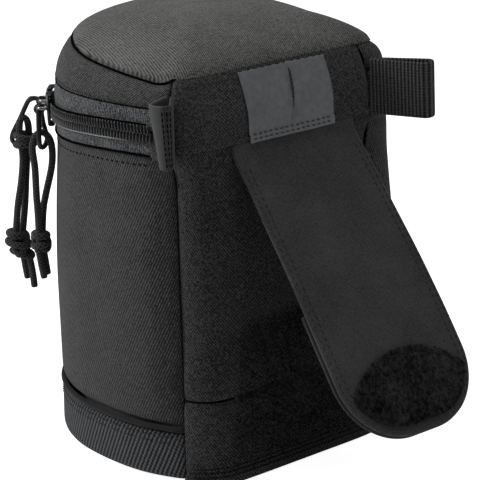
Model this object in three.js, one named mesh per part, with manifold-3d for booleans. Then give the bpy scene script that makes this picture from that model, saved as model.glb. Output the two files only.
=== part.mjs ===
// Padded lens pouch: a tapered, D-shaped cup with a zipped domed lid, a belt flap on its flat back,
// two webbing loops at the back seams and two zip sliders with knotted pull cords.
// Millimetres, +Z up. The round front faces -Y and the flat belt side faces +Y.
// The origin is on the floor, on the axis of the round front, about which the zip sliders travel.
import * as THREE from 'three';
import { mergeVertices } from 'three/addons/utils/BufferGeometryUtils.js';
import Module from 'manifold-3d';

const wasm = await Module();
wasm.setup();

// Plan of the cup at the floor
const FRONT_RADIUS = 62;
const BACK_DEPTH = 58;
const SIDE_RADIUS = 140;
const CORNER_RADIUS = 20;
const SEAM_ANGLE = 30;
const TAPER = 0.05;

// Layers of the padded wall, from the outside in
const GAP = 0.3;
const FABRIC = 1.2;
const FOAM = 5.5;
const LINING = 0.8;

// Heights of the cup, whose wall carries the zip, the fold, the loops and the lid
const PIPING_RADIUS = 1.3;
const PIPING_Z = 19.8;
const PIPING_PROUD = 0.4;
const BACK_BAND_TOP = 30.7;
const WALL_TOP = 119;
const BASE_FOAM = 7;

// Lid
const LID_INSET = 5.5;
const RIM_HEIGHT = 12.5;
const LID_LEAN = 6;
const LID_RISE = 15.5;
const LID_LINING_LIFT = 2;
const LID_FOAM = 5;
const DOME_SPREAD = 2;
const DOME_SHOULDER = 1.4;

// Zip
const LOWER_TAPE = 8.5;
const UPPER_TAPE = 9.5;
const COIL_HALF = 3.7;
const COIL_PROUD = 1.7;
const COIL_THICK = 1.8;
const TAPE_THICK = 0.7;
const TAPE_SINK = 0.4;
const TOOTH_PITCH = 3.2;
const TOOTH_DEPTH = 1.5;
const TOOTH_GAP = 0.4;

// Fold of the lid and the fabric ears that the lid turns round
const HINGE_DROP = 2.9;
const EAR_RADIUS = 19;
const EAR_DROP = 3.5;

// Label, belt flap and patches on the back
const LABEL_WIDTH = 39;
const LABEL_LIFT = 2;
const LABEL_THICK = 0.9;
const FLAP_WIDTH = 58;
const FLAP_LENGTH = 113;
const FLAP_DROP = 5.1;
const FLAP_BEAD = 1.2;
const FLAP_TIP_RADIUS = 24;
const FLAP_THICK = 1.6;
const FLAP_OPEN = 36;
const PLY_START = 61;
const PLY_THICK = 1;
const PLY_MARGIN = 1.5;
const PATCH_THICK = 1.2;
const PATCH_START = 82;
const PATCH_RADIUS = 33;
const PATCH_MARGIN = 3;
const ROOT_DROP = 0.6;
const ROOT_THICK = 1.6;
const LOOP_PATCH_TOP = 58;
const LOOP_PATCH_THICK = 1.6;
const HEM_HEIGHT = 5;
const HEM_THICK = 1.4;

// Webbing loops
const WEB_WIDTH = 25;
const WEB_THICK = 1.4;
const WEB_LIFT = 1;
const LEFT_LOOP = { length: 13, hollow: 3.3, turn: 20 };
const RIGHT_LOOP = { length: 25, hollow: 4, turn: 118 };

// Sliders, pulls and cords
const SLIDER_LENGTH = 9.6;
const SLIDER_PLATE = 1.4;
const SLIDER_CLEAR = 0.35;
const FLANGE = 1.2;
const BAR = 1.2;
const BAR_SPAN = 5.4;
const EYE_RADIUS = 1.75;
const EYE_TUBE = 0.65;
const PULL_LENGTH = 19;
const PULL_RADIUS = 5.7;
const PULL_TOP_RADIUS = 2.6;
const PULL_ROD = 2;
const CORD_RADIUS = 1.4;
const KNOT_RADIUS = 5.4;
const KNOT_HALF = 6;
const FRONT_SLIDER = { angle: -41.5, lean: 10, turn: 90 };
const SIDE_SLIDER = { angle: -30, lean: -2, turn: 0 };

const rad = THREE.MathUtils.degToRad;
const fabricIn = FABRIC + GAP;
const foamIn = fabricIn + FOAM;
const liningIn = foamIn + GAP;
const liningFace = liningIn + LINING;
const coilZ = WALL_TOP + LOWER_TAPE;
const hingeZ = coilZ - HINGE_DROP;
const flapAxisZ = hingeZ - FLAP_DROP;
const upperTapeTop = coilZ + UPPER_TAPE;
const lidSeamZ = upperTapeTop + RIM_HEIGHT;
const liningTop = coilZ - FABRIC;
const hingeY = BACK_DEPTH - LID_INSET;
const chainRadius = FRONT_RADIUS - LID_INSET + COIL_PROUD;

// A station is a point of the floor plan with its outward normal: every layer is an offset along it.
function arcStation(centreX, centreY, radius, degrees) {
  const normal = new THREE.Vector2(Math.cos(rad(degrees)), Math.sin(rad(degrees)));
  return { point: new THREE.Vector2(centreX, centreY).addScaledVector(normal, radius), normal };
}

const mirrored = ({ point, normal }) => ({
  point: new THREE.Vector2(-point.x, point.y),
  normal: new THREE.Vector2(-normal.x, normal.y),
});
const bothSides = (half) => [...half, ...half.slice(0, -1).reverse().map(mirrored)];

const sideX = FRONT_RADIUS - SIDE_RADIUS;
const cornerY = BACK_DEPTH - CORNER_RADIUS;
const cornerX = sideX + Math.sqrt((SIDE_RADIUS - CORNER_RADIUS) ** 2 - cornerY ** 2);
const sideEnd = THREE.MathUtils.radToDeg(Math.atan2(cornerY, cornerX - sideX));
const zipEndY = hingeY - EAR_RADIUS - 2 * GAP;
const zipEnd = THREE.MathUtils.radToDeg(Math.asin(zipEndY / (SIDE_RADIUS - LID_INSET)));
const seamSplit = THREE.MathUtils.radToDeg(GAP / 2 / (CORNER_RADIUS - liningTop * TAPER - liningFace));

const sideArc = (degrees) => arcStation(sideX, 0, SIDE_RADIUS, degrees);
const frontArc = (degrees) => arcStation(0, 0, FRONT_RADIUS, degrees);
const cornerArc = (degrees) => arcStation(cornerX, cornerY, CORNER_RADIUS, degrees);

const FRONT_STEPS = 10;
const frontStations = Array.from({ length: FRONT_STEPS + 1 }, (_, i) => frontArc((-90 * i) / FRONT_STEPS));
const zipHalf = [sideArc(zipEnd), sideArc((zipEnd * 2) / 3), sideArc(zipEnd / 3), ...frontStations];
const cornerHalf = [cornerArc(SEAM_ANGLE - seamSplit), sideArc(sideEnd)];
const frontHalf = [...cornerHalf, ...zipHalf];
const backTurn = 90 - SEAM_ANGLE - seamSplit;
const backHalf = [
  cornerArc(SEAM_ANGLE + seamSplit),
  cornerArc(90 - (backTurn * 2) / 3),
  cornerArc(90 - backTurn / 3),
  cornerArc(90),
  { point: new THREE.Vector2(0, BACK_DEPTH), normal: new THREE.Vector2(0, 1) },
];
const aroundFront = bothSides(frontHalf);
const acrossBack = bothSides(backHalf);
const zipRun = bothSides(zipHalf);
const tapeRun = bothSides([sideArc(sideEnd), ...zipHalf]);
const wholeRound = [...aroundFront, ...acrossBack.slice().reverse()];

const at = ({ point, normal }, inset, z) => [point.x - normal.x * inset, point.y - normal.y * inset, z];
const wall = (inset, z) => [inset + TAPER * z, z];
const lean = (z) => LID_LEAN * THREE.MathUtils.clamp((z - upperTapeTop) / RIM_HEIGHT, 0, 1);
const lid = (inset, z) => [inset + LID_INSET + lean(z), z];

// Triangles that fill an outline, wound the way the outline runs.
function capFaces(outline) {
  const winding = Math.sign(THREE.ShapeUtils.area(outline));
  return THREE.ShapeUtils.triangulateShape(outline, []).map(([a, b, c]) => {
    const same = Math.sign(THREE.ShapeUtils.area([outline[a], outline[b], outline[c]])) === winding;
    return same ? [a, b, c] : [a, c, b];
  });
}

// Closed surface from rows of points: neighbouring rows are joined, and the end rows are capped.
function skin(rows, capShape) {
  const count = rows[0].length;
  const last = (rows.length - 1) * count;
  const index = [];
  for (let here = 0; here < last; here += count) {
    const next = here + count;
    for (let i = 0; i < count; i++) {
      const j = (i + 1) % count;
      index.push(here + i, here + j, next + j, here + i, next + j, next + i);
    }
  }
  for (const [a, b, c] of capFaces(capShape)) {
    index.push(a, c, b, last + a, last + b, last + c);
  }
  const geometry = new THREE.BufferGeometry();
  geometry.setAttribute('position', new THREE.Float32BufferAttribute(rows.flat(2), 3));
  geometry.setIndex(index);
  return facingOut(geometry);
}

// Turns every face over if the solid encloses a negative volume.
function facingOut(geometry) {
  const position = geometry.getAttribute('position');
  const index = geometry.getIndex();
  const corner = [new THREE.Vector3(), new THREE.Vector3(), new THREE.Vector3()];
  let volume = 0;
  for (let i = 0; i < index.count; i += 3) {
    corner.forEach((v, k) => v.fromBufferAttribute(position, index.getX(i + k)));
    volume += corner[0].dot(corner[1].cross(corner[2]));
  }
  if (volume < 0) geometry.setIndex(Array.from(index.array).reverse());
  return geometry;
}

const flat = (points) => points.map(([x, y]) => new THREE.Vector2(x, y));

// A profile of (inset, z) points carried along a run of stations.
function sweep(profile, stations) {
  const rows = stations.map((station) => profile.map(([inset, z]) => at(station, inset, z)));
  return skin(rows, flat(profile));
}

// A layer of the cup's wall between two heights, and one of the lid's upright rim.
const layer = (face) => (outer, inner, low, high) => [
  face(outer, low),
  face(outer, high),
  face(inner, high),
  face(inner, low),
];
const wallLayer = layer(wall);
const lidLayer = layer(lid);

// A layer of the lid's back, upright below the top of the zip tape and leaning in above it.
const backLayer = (outer, inner, low, high) => [
  lid(outer, low),
  lid(outer, upperTapeTop),
  lid(outer, high),
  lid(inner, high),
  lid(inner, upperTapeTop),
  lid(inner, low),
];

// A closed ring of the plan, drawn in towards the middle of the plan for the dome.
function ring([inset, z], scale = 1) {
  const middleY = (BACK_DEPTH - FRONT_RADIUS) / 2;
  return wholeRound.map((station) => {
    const [x, y] = at(station, inset, z);
    return [x * scale, middleY + (y - middleY) * scale, z];
  });
}

const loft = (rings) => skin(rings, flat(rings[0]));

function solid(geometry) {
  const bare = geometry.clone();
  bare.deleteAttribute('normal');
  bare.deleteAttribute('uv');
  const merged = mergeVertices(bare, 1e-4);
  const mesh = new wasm.Mesh({
    numProp: 3,
    vertProperties: new Float32Array(merged.getAttribute('position').array),
    triVerts: new Uint32Array(merged.getIndex().array),
  });
  return new wasm.Manifold(mesh);
}

function surface(body) {
  const mesh = body.getMesh();
  const geometry = new THREE.BufferGeometry();
  geometry.setAttribute('position', new THREE.BufferAttribute(mesh.vertProperties.slice(), 3));
  geometry.setIndex(new THREE.BufferAttribute(mesh.triVerts.slice(), 1));
  return geometry;
}

const cut = (geometry, tool) => surface(solid(geometry).subtract(solid(tool)));
const common = (geometry, tool) => surface(solid(geometry).intersect(solid(tool)));
const join = (...geometries) => surface(geometries.map(solid).reduce((sum, next) => sum.add(next)));

// Axis changes: a shape drawn in (Y, Z) and extruded along X, or drawn in (X, Z) and extruded along -Y.
const axisX = new THREE.Vector3(1, 0, 0);
const axisY = new THREE.Vector3(0, 1, 0);
const axisZ = new THREE.Vector3(0, 0, 1);
const turned = (geometry, x, y, z) => geometry.applyMatrix4(new THREE.Matrix4().makeBasis(x, y, z));
const alongX = (geometry) => turned(geometry, axisY, axisZ, axisX);
const alongY = (geometry) => turned(geometry, axisX, axisZ, axisY.clone().negate());

const extrude = (shape, depth, bevel = 0) =>
  new THREE.ExtrudeGeometry(shape, {
    depth: depth - 2 * bevel,
    bevelEnabled: bevel > 0,
    bevelSize: bevel,
    bevelThickness: bevel,
    bevelOffset: -bevel,
    bevelSegments: 1,
    curveSegments: 10,
  }).translate(0, 0, bevel);

// A slab of one (Y, Z) section, centred on X = 0.
function slab(section, width) {
  const shape = new THREE.Shape(flat(section));
  return alongX(extrude(shape, width)).translate(-width / 2, 0, 0);
}

// Rod along the lid's fold, for cutting the ears and the rim to one radius.
const foldRod = (radius) =>
  new THREE.CylinderGeometry(radius, radius, 4 * FRONT_RADIUS, 48)
    .rotateZ(Math.PI / 2)
    .translate(0, hingeY, hingeZ);

const finishes = {
  twill: { color: 0x3c3c3a, roughness: 0.85 },
  backCloth: { color: 0x262626, roughness: 0.85 },
  ribbed: { color: 0x30302f, roughness: 0.8 },
  foam: { color: 0x1d1d1d, roughness: 0.95 },
  lining: { color: 0x6b6c6e, roughness: 0.9 },
  tape: { color: 0x3a3c40, roughness: 0.8 },
  coil: { color: 0x17181a, roughness: 0.45 },
  webbing: { color: 0x1c1c1c, roughness: 0.8 },
  pile: { color: 0x101010, roughness: 1 },
  label: { color: 0x55575a, roughness: 0.6 },
  flapCloth: { color: 0x2f2f2f, roughness: 0.75 },
  metal: { color: 0x8a8c90, roughness: 0.35, metalness: 1 },
  blackMetal: { color: 0x161616, roughness: 0.4, metalness: 0.2 },
  cord: { color: 0x131313, roughness: 0.9 },
};

function piece(name, finish, geometry) {
  const mesh = new THREE.Mesh(geometry, new THREE.MeshStandardMaterial(finishes[finish]));
  mesh.name = name;
  return mesh;
}

function makeCup() {
  const cup = new THREE.Group();
  const pipingLow = PIPING_Z - PIPING_RADIUS - GAP;
  const pipingHigh = PIPING_Z + PIPING_RADIUS + GAP;
  const pipingRound = Array.from({ length: 8 }, (_, i) => {
    const turn = rad(22.5 + 45 * i);
    const inset = -PIPING_PROUD + PIPING_RADIUS * Math.cos(turn);
    return wall(inset, PIPING_Z + PIPING_RADIUS * Math.sin(turn));
  });
  const backTop = hingeZ - GAP;
  const backSkin = wallLayer(0, FABRIC, BACK_BAND_TOP + GAP, backTop);
  const hem = wallLayer(-GAP - HEM_THICK, -GAP, 0, HEM_HEIGHT);
  const tape = lidLayer(TAPE_SINK, TAPE_SINK + TAPE_THICK, WALL_TOP + GAP, coilZ - GAP);
  const pad = [wall(liningIn, fabricIn), wall(liningIn, fabricIn + BASE_FOAM)];
  cup.add(piece('wall_panel', 'twill', sweep(wallLayer(0, FABRIC, pipingHigh, WALL_TOP), aroundFront)));
  cup.add(piece('base_band', 'ribbed', sweep(wallLayer(0, FABRIC, 0, pipingLow), aroundFront)));
  cup.add(piece('base_piping', 'pile', sweep(pipingRound, aroundFront)));
  cup.add(piece('back_panel', 'backCloth', sweep(backSkin, acrossBack)));
  cup.add(piece('back_base_band', 'backCloth', sweep(wallLayer(0, FABRIC, 0, BACK_BAND_TOP), acrossBack)));
  cup.add(piece('back_hem', 'backCloth', sweep(hem, acrossBack)));
  cup.add(piece('bottom_panel', 'ribbed', loft([ring(wall(fabricIn, 0)), ring(wall(fabricIn, FABRIC))])));
  cup.add(piece('wall_foam', 'foam', sweep(wallLayer(fabricIn, foamIn, fabricIn, liningTop), aroundFront)));
  cup.add(piece('back_foam', 'foam', sweep(wallLayer(fabricIn, foamIn, fabricIn, backTop), acrossBack)));
  cup.add(piece('base_foam', 'foam', loft(pad.map((edge) => ring(edge)))));
  cup.add(piece('lining', 'lining', makeLining()));
  for (const [side, stations] of [['left', cornerHalf], ['right', cornerHalf.map(mirrored)]]) {
    cup.add(piece(`corner_ear_${side}`, 'twill', makeEar(stations)));
  }
  cup.add(piece('back_loop_patch', 'pile', makeLoopPatch()));
  cup.add(piece('flap_root', 'flapCloth', makeFlapRoot()));
  cup.add(piece('lower_zip_tape', 'tape', sweep(tape, zipRun)));
  cup.add(piece('lower_zip_teeth', 'coil', makeTeeth(-1)));
  cup.add(piece('loop_left', 'webbing', makeWebLoop(LEFT_LOOP, 1)));
  cup.add(piece('loop_right', 'webbing', makeWebLoop(RIGHT_LOOP, -1)));
  return cup;
}

// The lining is one sewn bag: a floor and a wall, open at the top.
function makeLining() {
  const floor = fabricIn + BASE_FOAM + GAP;
  const bag = loft([ring(wall(liningIn, floor)), ring(wall(liningIn, liningTop))]);
  const hollow = loft([ring(wall(liningFace, floor + LINING)), ring(wall(liningFace, liningTop + FABRIC))]);
  return cut(bag, hollow);
}

// Fabric ear at a back corner, above the wall, where the zip ends.
function makeEar(stations) {
  const run = [...stations, stations[0].point.x > 0 ? zipHalf[0] : mirrored(zipHalf[0])];
  return common(sweep(backLayer(0, FABRIC, WALL_TOP + GAP, lidSeamZ - EAR_DROP), run), foldRod(EAR_RADIUS));
}

// Fuzzy patch on the lower back, which the belt flap's tip fastens to.
function makeLoopPatch() {
  const low = HEM_HEIGHT + 1;
  const face = (z) => BACK_DEPTH - TAPER * z + GAP;
  const section = [
    [face(low), low],
    [face(low) + LOOP_PATCH_THICK, low],
    [face(LOOP_PATCH_TOP) + LOOP_PATCH_THICK, LOOP_PATCH_TOP],
    [face(LOOP_PATCH_TOP), LOOP_PATCH_TOP],
  ];
  return slab(section, FLAP_WIDTH);
}

// Sewn top edge of the belt flap, just above its fold.
function makeFlapRoot() {
  const low = flapAxisZ + FLAP_BEAD + GAP;
  const inner = BACK_DEPTH - TAPER * low + GAP;
  const outer = inner + ROOT_THICK;
  const top = hingeZ - ROOT_DROP;
  return slab([[inner, low], [outer, low], [outer, top], [inner, top]], FLAP_WIDTH);
}

// One half of the zip chain: a strip with a row of pointed teeth that mesh with the other half.
function makeTeeth(side) {
  const arcs = [
    { make: sideArc, from: zipEnd, to: 0, length: rad(zipEnd) * SIDE_RADIUS },
    { make: frontArc, from: 0, to: -90, length: rad(90) * chainRadius },
  ];
  const half = [];
  for (const { make, from, to, length } of arcs) {
    const steps = 2 * Math.round(length / TOOTH_PITCH);
    for (let i = 0; i < steps; i++) half.push(make(from + ((to - from) * i) / steps));
  }
  const run = bothSides([...half, frontArc(-90)]);
  const outer = LID_INSET - COIL_PROUD;
  const far = coilZ + side * COIL_HALF;
  const rows = run.map((station, i) => {
    const tip = (i % 2 ? 0.5 : -0.5) * TOOTH_DEPTH;
    const near = coilZ + tip + (side * TOOTH_GAP) / 2;
    const profile = [[outer, far], [outer, near], [outer + COIL_THICK, near], [outer + COIL_THICK, far]];
    return profile.map(([inset, z]) => at(station, inset, z));
  });
  return skin(rows, flat([[0, 0], [0, 1], [1, 1], [1, 0]]));
}

// Folded webbing sewn into a back seam, standing on edge, with a drop-shaped hollow.
function makeWebLoop({ length, hollow, turn }, sideSign) {
  const shape = dropShape(WEB_THICK, 0, hollow + WEB_THICK, length - hollow - WEB_THICK);
  shape.holes.push(dropShape(GAP, WEB_THICK * 2, hollow, length - hollow - WEB_THICK));
  const seam = cornerArc(SEAM_ANGLE);
  const root = seam.point.addScaledVector(seam.normal, WEB_THICK + GAP - LID_INSET);
  return extrude(shape, WEB_WIDTH)
    .rotateZ(rad(turn))
    .translate(sideSign * root.x, root.y, coilZ + WEB_LIFT - WEB_WIDTH / 2);
}

// Outline round two circles on the X axis, the first at x = start and the second at x = end.
function dropShape(startRadius, start, endRadius, end) {
  const lean = Math.acos((startRadius - endRadius) / (end - start));
  const shape = new THREE.Shape();
  shape.absarc(end, 0, endRadius, -lean, lean, false);
  shape.absarc(start, 0, startRadius, lean, 2 * Math.PI - lean, false);
  shape.closePath();
  return shape;
}

const clearOfEars = (geometry) => cut(geometry, foldRod(EAR_RADIUS + GAP));

function makeLid() {
  const group = new THREE.Group();
  const seamLow = lidSeamZ - GAP / 2;
  const foamFace = fabricIn + LID_FOAM;
  const tape = lidLayer(TAPE_SINK, TAPE_SINK + TAPE_THICK, coilZ + GAP, upperTapeTop);
  const rim = sweep(lidLayer(0, FABRIC, upperTapeTop + GAP, seamLow), aroundFront);
  group.add(piece('lid_top_panel', 'twill', domeShell(0, FABRIC, lidSeamZ + GAP / 2)));
  group.add(piece('lid_foam', 'foam', clearOfEars(domeShell(fabricIn, foamFace, upperTapeTop + GAP))));
  const inner = domeShell(foamFace + GAP, foamFace + GAP + LINING, coilZ + LID_LINING_LIFT);
  group.add(piece('lid_lining', 'lining', inner));
  group.add(piece('lid_rim', 'twill', clearOfEars(rim)));
  group.add(piece('hinge_band', 'backCloth', sweep(backLayer(0, FABRIC, hingeZ + GAP, seamLow), acrossBack)));
  group.add(piece('upper_zip_tape', 'tape', clearOfEars(sweep(tape, tapeRun))));
  group.add(piece('upper_zip_teeth', 'coil', makeTeeth(1)));
  group.add(piece('label', 'label', makeLabel()));
  return group;
}

// Domed cap with an upright skirt: its height follows a rounded shoulder into a low crown.
function domeSolid(inset, low) {
  const foot = lidSeamZ + GAP;
  const heights = [low, upperTapeTop, foot].filter((z) => z >= low);
  const rings = heights.map((z) => ring(lid(inset, z)));
  for (const scale of [0.98, 0.91, 0.79, 0.56, 0.22]) {
    const height = (1 - scale ** DOME_SPREAD) ** (1 / DOME_SHOULDER);
    rings.push(ring(lid(inset, foot + (LID_RISE - inset) * height), scale));
  }
  return loft(rings);
}

const domeShell = (outer, inner, low) => cut(domeSolid(outer, low), domeSolid(inner, low - FABRIC));

// Bare sewn label on the outside of the hinge band.
function makeLabel() {
  const section = backLayer(-GAP - LABEL_THICK, -GAP, hingeZ + LABEL_LIFT, lidSeamZ - GAP);
  return slab(section.map(([inset, z]) => [BACK_DEPTH - inset, z]), LABEL_WIDTH);
}

// Belt flap, drawn hanging from its fold and then swung out: -Z runs down the flap and +Y faces out.
function makeFlap() {
  const group = new THREE.Group();
  const half = FLAP_THICK / 2;
  const plyFace = half + GAP + PLY_THICK;
  const sheet = (shape, low, high) => alongY(extrude(shape, high - low)).translate(0, high, 0);
  const bead = new THREE.CylinderGeometry(FLAP_BEAD, FLAP_BEAD, FLAP_WIDTH, 12).rotateZ(Math.PI / 2);
  const patch = (low, high) => {
    const disc = new THREE.CylinderGeometry(PATCH_RADIUS, PATCH_RADIUS, high - low, 48);
    disc.translate(0, (low + high) / 2, -PATCH_START - PATCH_RADIUS);
    return common(sheet(flapOutline(PATCH_START, PATCH_MARGIN), low, high), disc);
  };
  group.add(piece('flap_panel', 'flapCloth', join(sheet(flapOutline(0, 0), -half, half), bead)));
  const ply = sheet(flapOutline(PLY_START, PLY_MARGIN), -plyFace, -half - GAP);
  group.add(piece('flap_inner_ply', 'flapCloth', ply));
  group.add(piece('flap_outer_patch', 'pile', patch(half + GAP, half + GAP + PATCH_THICK)));
  group.add(piece('flap_hook_patch', 'pile', patch(-plyFace - GAP - PATCH_THICK, -plyFace - GAP)));
  group.position.set(0, BACK_DEPTH - TAPER * flapAxisZ + GAP + FLAP_BEAD, flapAxisZ);
  group.rotation.x = rad(FLAP_OPEN);
  return group;
}

// Flap outline with a straight top edge and a round tip.
function flapOutline(start, margin) {
  const half = FLAP_WIDTH / 2 - margin;
  const end = margin - FLAP_LENGTH;
  const radius = FLAP_TIP_RADIUS - margin;
  const shape = new THREE.Shape();
  shape.absarc(-half + radius, end + radius, radius, Math.PI, 1.5 * Math.PI, false);
  shape.absarc(half - radius, end + radius, radius, -0.5 * Math.PI, 0, false);
  shape.lineTo(half, -start);
  shape.lineTo(-half, -start);
  shape.closePath();
  return shape;
}

const plateFace = chainRadius + SLIDER_CLEAR + SLIDER_PLATE;
const barReach = plateFace + GAP + EYE_RADIUS + EYE_TUBE;

// Slider, pull and cord in one local frame: +X out of the wall, +Y along the zip, Z from the coil's middle.
function makeSlider(place, { angle, lean, turn }, cordRoute, knot) {
  const group = new THREE.Group();
  const facing = Math.sign(angle - (FRONT_SLIDER.angle + SIDE_SLIDER.angle) / 2);
  const pull = piece(`pull_${place}`, 'blackMetal', makePull(turn));
  pull.position.set(barReach, 0, 0);
  pull.rotation.y = rad(-lean);
  group.add(piece(`slider_${place}`, 'metal', makeSliderBody(facing)));
  group.add(pull);
  group.add(piece(`pull_cord_${place}`, 'cord', tube(cordRoute)));
  group.add(piece(`pull_knot_${place}`, 'cord', makeKnot(knot)));
  group.position.z = coilZ;
  group.rotation.z = rad(angle);
  return group;
}

// Shield-shaped plate with a flange under the lower coil and an arched bar for the pull's eye.
function makeSliderBody(facing) {
  const half = COIL_HALF + SLIDER_CLEAR + FLANGE;
  const end = (SLIDER_LENGTH / 2) * facing;
  const shield = new THREE.Shape(
    flat([
      [-end, half],
      [end * 0.4, half],
      [end, half * 0.7],
      [end, -half * 0.7],
      [end * 0.4, -half],
      [-end, -half],
    ]),
  );
  const plate = alongX(extrude(shield, SLIDER_PLATE, SLIDER_PLATE / 4));
  plate.translate(plateFace - SLIDER_PLATE, 0, 0);
  const middle = plateFace - SLIDER_PLATE / 2;
  const reach = middle - (FRONT_RADIUS - LID_INSET - TAPE_SINK + GAP);
  const flange = new THREE.BoxGeometry(reach, SLIDER_LENGTH * 0.7, FLANGE);
  flange.translate(middle - reach / 2, 0, FLANGE / 2 - half);
  const inside = BAR_SPAN / 2;
  const outside = inside + BAR;
  const over = barReach + BAR / 2;
  const under = barReach - BAR / 2;
  const arch = new THREE.Shape(
    flat([
      [outside, middle],
      [outside, under],
      [inside, over],
      [-inside, over],
      [-outside, under],
      [-outside, middle],
      [-inside, middle],
      [-inside, under],
      [inside, under],
      [inside, middle],
    ]),
  );
  const bar = turned(extrude(arch, BAR), axisY, axisX, axisZ.clone().negate()).translate(0, 0, BAR / 2);
  return join(plate, flange, bar);
}

// Drop-shaped pull ring under a small eye. The ring is turned about the upright axis.
function makePull(turn) {
  const first = EYE_RADIUS + EYE_TUBE * 0.5 + PULL_TOP_RADIUS;
  const last = PULL_LENGTH - PULL_RADIUS;
  const drop = dropShape(PULL_TOP_RADIUS, first, PULL_RADIUS, last);
  drop.holes.push(dropShape(PULL_TOP_RADIUS - PULL_ROD, first + PULL_ROD / 2, PULL_RADIUS - PULL_ROD, last));
  const ringBody = extrude(drop, PULL_ROD, PULL_ROD / 5).translate(0, 0, -PULL_ROD / 2);
  const hanging = turned(ringBody, axisZ.clone().negate(), axisY, axisX).rotateZ(rad(turn));
  const eye = new THREE.TorusGeometry(EYE_RADIUS, EYE_TUBE, 6, 14).rotateX(Math.PI / 2);
  return join(hanging, eye);
}

// Eight-sided cord along a smooth route.
function tube(route, steps = 36) {
  const path = new THREE.CatmullRomCurve3(route.map(([x, y, z]) => new THREE.Vector3(x, y, z)));
  const corners = Array.from({ length: 8 }, (_, i) => {
    const turn = (i * Math.PI) / 4;
    return [CORD_RADIUS * Math.cos(turn), CORD_RADIUS * Math.sin(turn)];
  });
  return new THREE.ExtrudeGeometry(new THREE.Shape(flat(corners)), { steps, extrudePath: path });
}

// Overhand knot of the doubled cord, with its two cut tails.
function makeKnot({ centre, tails }) {
  const girth = KNOT_RADIUS - CORD_RADIUS;
  const wrap = (tilt, lift) =>
    new THREE.TorusGeometry(girth, CORD_RADIUS, 6, 12).rotateX(rad(tilt)).translate(0, 0, lift);
  const core = new THREE.SphereGeometry(1, 10, 8).scale(girth, girth, KNOT_HALF);
  const body = [core, wrap(18, KNOT_HALF * 0.4), wrap(-24, -KNOT_HALF * 0.4)];
  return join(...body.map((part) => part.translate(...centre)), ...tails.map((route) => tube(route, 4)));
}

// Cord routes, up from the knot, over the pull's ring and back down
const FRONT_CORD = [
  [71.4, -1.6, -45],
  [69.2, -2.2, -33],
  [66.9, -3.1, -23],
  [65.8, -3.2, -17.8],
  [65.4, -2.3, -15.5],
  [65.2, 0, -14.6],
  [65.4, 2.3, -15.5],
  [65.8, 3.2, -17.8],
  [66.9, 3.1, -23],
  [69.2, 2.2, -33],
  [71.4, 1.6, -45],
];
const FRONT_KNOT = {
  centre: [72.2, 0, -51],
  tails: [
    [[72.6, -1.6, -54], [72.4, -1.8, -60], [69.6, -2, -67.5]],
    [[73, 1.6, -54], [73.6, 1.7, -60], [71.8, 1.8, -67]],
  ],
};
const SIDE_CORD = [
  [63.1, 0, -46],
  [61.2, 0, -35],
  [58.8, 0, -23],
  [58.3, 0, -18.5],
  [59.4, 0, -15.7],
  [62.1, 0, -14.6],
  [64.9, 0, -15.7],
  [66.1, 0, -18.8],
  [66.5, 0, -26],
  [66.6, 0, -36],
  [66.2, 0, -46],
];
const SIDE_KNOT = {
  centre: [64.6, 0, -52.1],
  tails: [
    [[63.4, 0, -55], [63.2, 0.6, -60], [63.4, 1, -65.5]],
    [[66.2, 0, -55], [66.6, -0.6, -60], [66.6, -1, -66]],
  ],
};

const pouch = new THREE.Group();
pouch.add(makeCup());
pouch.add(makeLid());
pouch.add(makeFlap());
pouch.add(makeSlider('front', FRONT_SLIDER, FRONT_CORD, FRONT_KNOT));
pouch.add(makeSlider('side', SIDE_SLIDER, SIDE_CORD, SIDE_KNOT));
export default pouch;
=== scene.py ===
"""Padded lens pouch with a zipped lid, a belt flap and knotted pull cords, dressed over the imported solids."""
import random
from math import acos, asin, ceil, copysign, cos, exp, pi, radians, sin, sqrt

import bmesh
import bpy
from mathutils import Matrix, Vector, noise


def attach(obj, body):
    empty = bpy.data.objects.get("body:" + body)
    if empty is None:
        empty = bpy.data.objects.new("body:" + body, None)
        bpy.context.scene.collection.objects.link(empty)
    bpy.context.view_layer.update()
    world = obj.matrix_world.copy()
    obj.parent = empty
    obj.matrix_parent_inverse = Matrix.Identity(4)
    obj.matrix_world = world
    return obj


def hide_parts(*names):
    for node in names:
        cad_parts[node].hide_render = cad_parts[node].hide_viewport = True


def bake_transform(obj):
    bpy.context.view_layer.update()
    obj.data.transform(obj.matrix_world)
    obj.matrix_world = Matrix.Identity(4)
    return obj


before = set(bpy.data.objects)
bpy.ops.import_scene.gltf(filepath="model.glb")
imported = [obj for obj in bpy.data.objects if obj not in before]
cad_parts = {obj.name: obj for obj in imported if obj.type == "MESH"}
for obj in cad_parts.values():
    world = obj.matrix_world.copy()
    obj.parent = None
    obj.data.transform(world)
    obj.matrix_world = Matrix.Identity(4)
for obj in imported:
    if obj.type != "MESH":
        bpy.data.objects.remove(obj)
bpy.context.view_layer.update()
rng = random.Random(7)
scene = bpy.context.scene

# Sizes of the pouch, in metres, as in the solids
FRONT_R = 0.062
SIDE_R = 0.140
CORNER_R = 0.020
BACK_Y = 0.058
TAPER = 0.05
PIPING_Z = 0.0198
WALL_LOW = 0.0212
WALL_TOP = 0.119
BACK_SPLIT = 0.0307
COIL_Z = 0.1275
HINGE_Z = 0.1246
LID_INSET = 0.0055
LID_SEAM = 0.1495
LID_LEAN = 0.006
LID_RISE = 0.0154
DOME_SPREAD = 2
DOME_SHOULDER = 1.4
TAPE_TOP = 0.1382
EAR_R = 0.0145
LINING_IN = 0.0073
LID_LINING_IN = 0.0123
CLOTH = 0.0012
THIN_CLOTH = 0.0006

UP = Vector((0, 0, 1))
OUT = Vector((0, 1, 0))

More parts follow.
